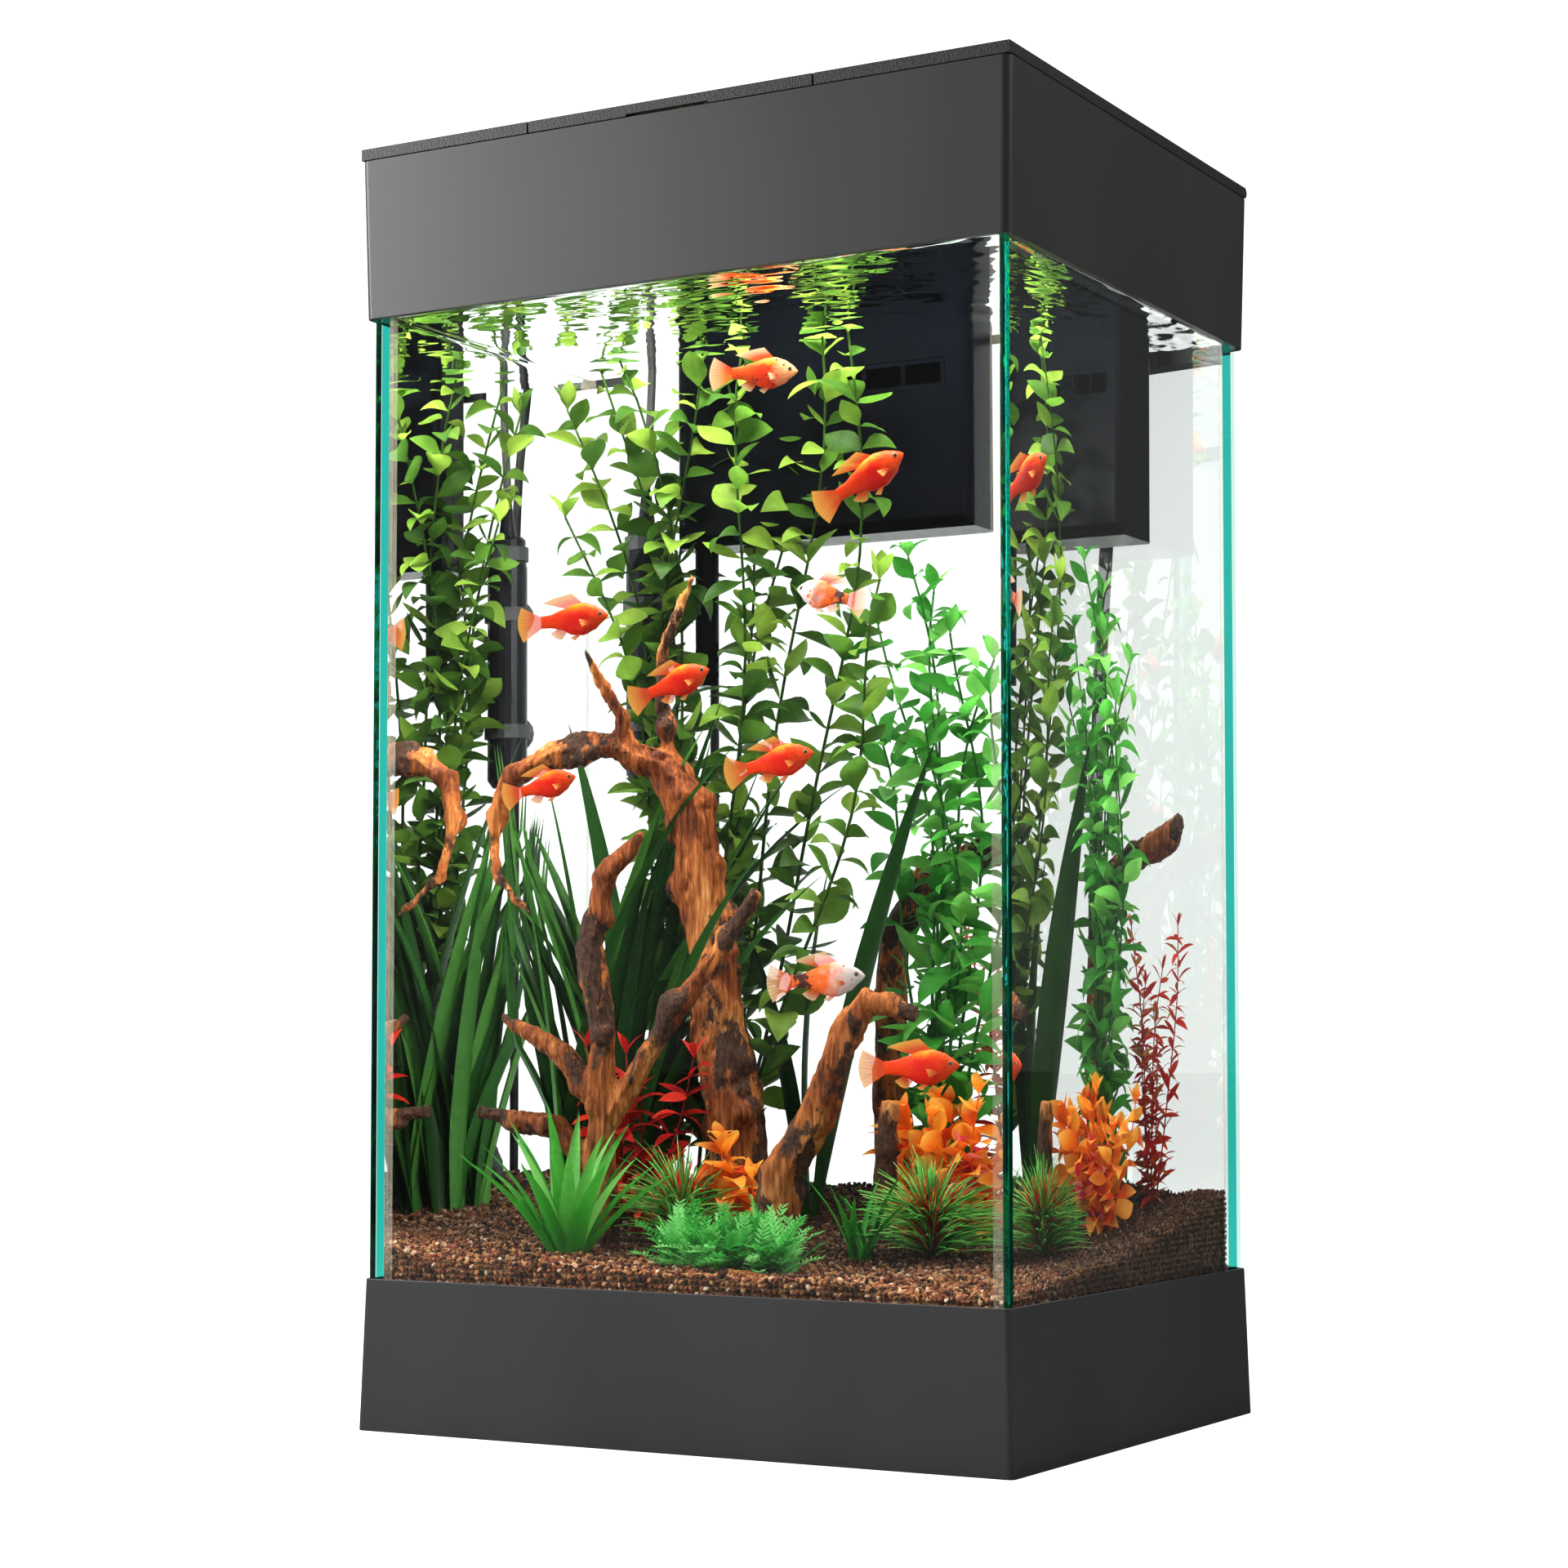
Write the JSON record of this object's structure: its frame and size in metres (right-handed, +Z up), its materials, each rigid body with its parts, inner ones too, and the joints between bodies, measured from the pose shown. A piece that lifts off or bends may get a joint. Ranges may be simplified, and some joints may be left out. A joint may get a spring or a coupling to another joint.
{
  "type": "aquarium on stand",
  "caption": "Tall rectangular glass aquarium on a black plinth, with a lift-off black hood, hinged lid and feeding door, lamp, filter, heater, gravel, planting and fish.",
  "frame": {"origin": "on the floor under the middle of the plinth", "axes": "+Z up, the front pane faces -Y, +X to the right seen from the front"},
  "size_m": [0.378, 0.4203, 0.67],
  "materials": {
    "satin_black": "satin moulded plastic",
    "grained_black": "fine-grained moulded plastic",
    "glass": "clear float glass with green cut edges",
    "silicone": "translucent sealant",
    "gravel": "mixed brown, tan, red and black grains",
    "driftwood": "waterlogged bark and bare wood",
    "dark_rock": "rough",
    "filter_plastic": "smooth black",
    "filter_foam": "open-cell foam",
    "steel": "plain rod",
    "lamp_lens": "frosted clear",
    "led_board": "white board",
    "heater_black": "smooth black sleeve",
    "black_rubber": "soft black",
    "leaf_green": "leaf, slightly glossy",
    "blade_green": "dark blade leaf",
    "bright_green": "bright leaf",
    "leaf_red": "red leaf",
    "leaf_orange": "orange leaf",
    "fish_red": "wet scales, orange-red",
    "fish_white": "wet scales, pale with orange and black"
  },
  "bodies": {
    "root": {"stand_skirt": "satin_black", "stand_deck": "satin_black", "glass_front": "glass", "glass_back": "glass", "glass_left": "glass", "glass_right": "glass", "glass_bottom": "glass", "silicone_seal": "silicone", "gravel_bed": "gravel", "filter_case": "filter_plastic", "outlet_grille": "filter_plastic", "pump_housing": "filter_plastic", "intake_tube": "filter_plastic", "filter_bracket": "black_rubber", "heater_tube": "heater_black", "heater_cap": "heater_black", "heater_holder": "black_rubber", "heater_cable": "black_rubber", "cable_coil": "black_rubber", "heater_plug": "black_rubber", "driftwood_trunk": "driftwood", "driftwood_forked": "driftwood", "driftwood_hook": "driftwood", "driftwood_arch": "driftwood", "driftwood_stub": "driftwood", "dark_rock": "dark_rock", "tall_stem_plant": "leaf_green", "right_stem_plant": "leaf_green", "grass_clump": "blade_green", "broad_blade_plant": "blade_green", "rosette_plant": "bright_green", "red_leaf_plant": "leaf_red", "tuft_plant_left": "bright_green", "tuft_plant_right": "bright_green", "fern_plant": "bright_green", "orange_leaf_plant_left": "leaf_orange", "orange_leaf_plant_right": "leaf_orange", "red_strand_plant": "leaf_red", "fish_1": "fish_red", "fish_2": "fish_red", "fish_3": "fish_white", "fish_4": "fish_red", "fish_5": "fish_red", "fish_6": "fish_red", "fish_7": "fish_red", "fish_8": "fish_white", "fish_9": "fish_red"},
    "hood": {"hood_skirt": "satin_black", "lid_hinge_rod": "steel"},
    "lid": {"lid_panel": "grained_black", "door_hinge_rod": "steel", "lamp_housing": "satin_black", "lamp_lens": "lamp_lens", "led_strip": "led_board", "lamp_inlet": "satin_black"},
    "door": {"feeding_door": "grained_black"},
    "switch": {"light_switch": "satin_black"},
    "cartridge": {"filter_cartridge": "filter_foam"},
    "rotor": {"impeller": "steel"},
    "dial": {"heater_dial": "black_rubber"}
  },
  "joints": [
    {"name": "hood_lift", "type": "slide", "parent": "root", "child": "hood", "axis": [0, 0, 1], "range_m": [0, 0.12]},
    {"name": "lid_hinge", "type": "hinge", "parent": "hood", "child": "lid", "pos_m": [0, 0.14845, 0.66695], "axis": [-1, 0, 0], "range_deg": [0, 80]},
    {"name": "feeding_door_hinge", "type": "hinge", "parent": "lid", "child": "door", "pos_m": [0, -0.05455, 0.66695], "axis": [-1, 0, 0], "range_deg": [0, 100]},
    {"name": "light_switch_rock", "type": "hinge", "parent": "lid", "child": "switch", "pos_m": [0.135, 0.098, 0.667], "axis": [0, 1, 0], "range_deg": [-5, 5]},
    {"name": "cartridge_lift", "type": "slide", "parent": "root", "child": "cartridge", "axis": [0, 0, 1], "range_m": [0, 0.036]},
    {"name": "impeller_spin", "type": "hinge", "parent": "root", "child": "rotor", "pos_m": [0.02, 0.11, 0.4893], "axis": [0, 0, 1], "continuous": true},
    {"name": "heater_dial_turn", "type": "hinge", "parent": "root", "child": "dial", "pos_m": [-0.131, 0.121, 0.4823], "axis": [0, 0, 1], "range_deg": [0, 270]}
  ]
}
